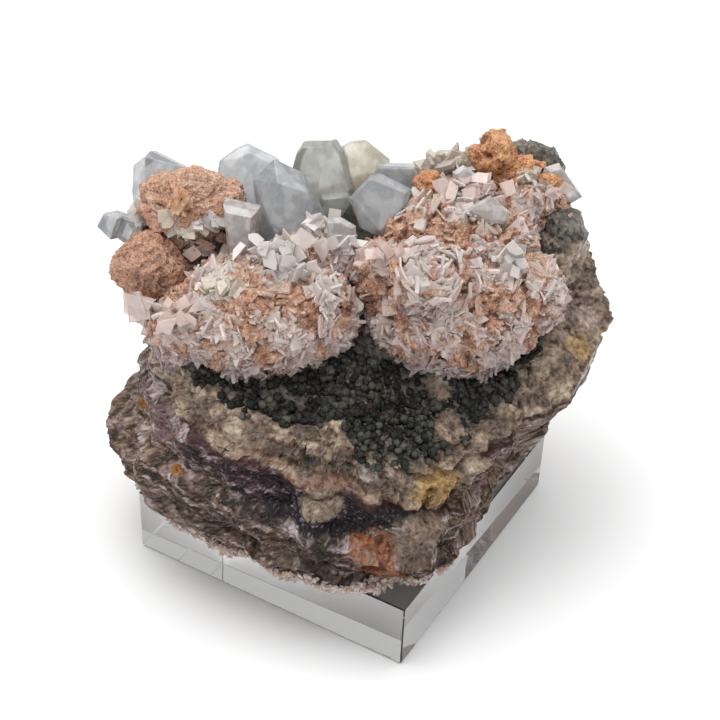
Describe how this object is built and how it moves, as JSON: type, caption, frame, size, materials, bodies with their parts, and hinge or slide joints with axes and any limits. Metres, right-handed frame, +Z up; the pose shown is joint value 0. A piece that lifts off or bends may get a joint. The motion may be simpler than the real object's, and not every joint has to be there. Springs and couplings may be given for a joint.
{
  "type": "baryte with fluorite",
  "caption": "Mineral specimen: rosettes and tabular crystals of baryte on a banded fluorite rock with a dark druse, standing on a clear square display block.",
  "frame": {"origin": "centre of the display block's underside, where it rests on a shelf or table", "axes": "+Z up; +X to the right along the block's front side; +Y away, along its other side"},
  "size_m": [0.1126, 0.1072, 0.0995],
  "materials": {
    "clear_acrylic": "polished clear acrylic block with fine polished chamfers",
    "banded_fluorite": "rough broken rock in brown, grey-violet, honey and near-black bands, with sugary sparkling patches",
    "dark_druse": "small rounded dark grey-green balls with a soft sheen",
    "baryte_rosette": "pinkish translucent blades with bright glints over a salmon-tan granular core",
    "rust_stained_baryte": "fine granular crust stained salmon to orange by iron",
    "baryte_crystal_blue_grey": "clear to cloudy pale blue-grey crystal with flat shiny faces",
    "baryte_crystal_green_grey": "clear to cloudy pale green-grey crystal with flat shiny faces",
    "baryte_crystal_cream": "cream translucent crystal with flat shiny faces",
    "baryte_crystal_milky": "milky white translucent plates with flat shiny faces"
  },
  "bodies": {
    "root": {"display_block": "clear_acrylic", "fluorite_matrix": "banded_fluorite", "dark_druse": "dark_druse", "baryte_rosette_left": "baryte_rosette", "baryte_rosette_right": "baryte_rosette", "rust_ball_upper_left": "rust_stained_baryte", "rust_ball_left": "rust_stained_baryte", "rust_ball_top": "rust_stained_baryte", "rust_crust_back": "rust_stained_baryte", "baryte_crystal_left_tall": "baryte_crystal_blue_grey", "baryte_crystal_left_cubes": "baryte_crystal_blue_grey", "baryte_crystal_centre": "baryte_crystal_blue_grey", "baryte_crystal_blocky": "baryte_crystal_milky", "baryte_crystal_tall": "baryte_crystal_green_grey", "baryte_crystal_cream": "baryte_crystal_cream", "baryte_crystal_back": "baryte_crystal_blue_grey", "baryte_crystal_rhomb": "baryte_crystal_blue_grey", "baryte_crystal_milky": "baryte_crystal_milky", "baryte_plate_top": "baryte_crystal_milky", "baryte_plate_right": "baryte_crystal_milky", "baryte_plate_upright": "baryte_crystal_milky", "baryte_plate_far_right": "baryte_crystal_milky"}
  },
  "joints": []
}
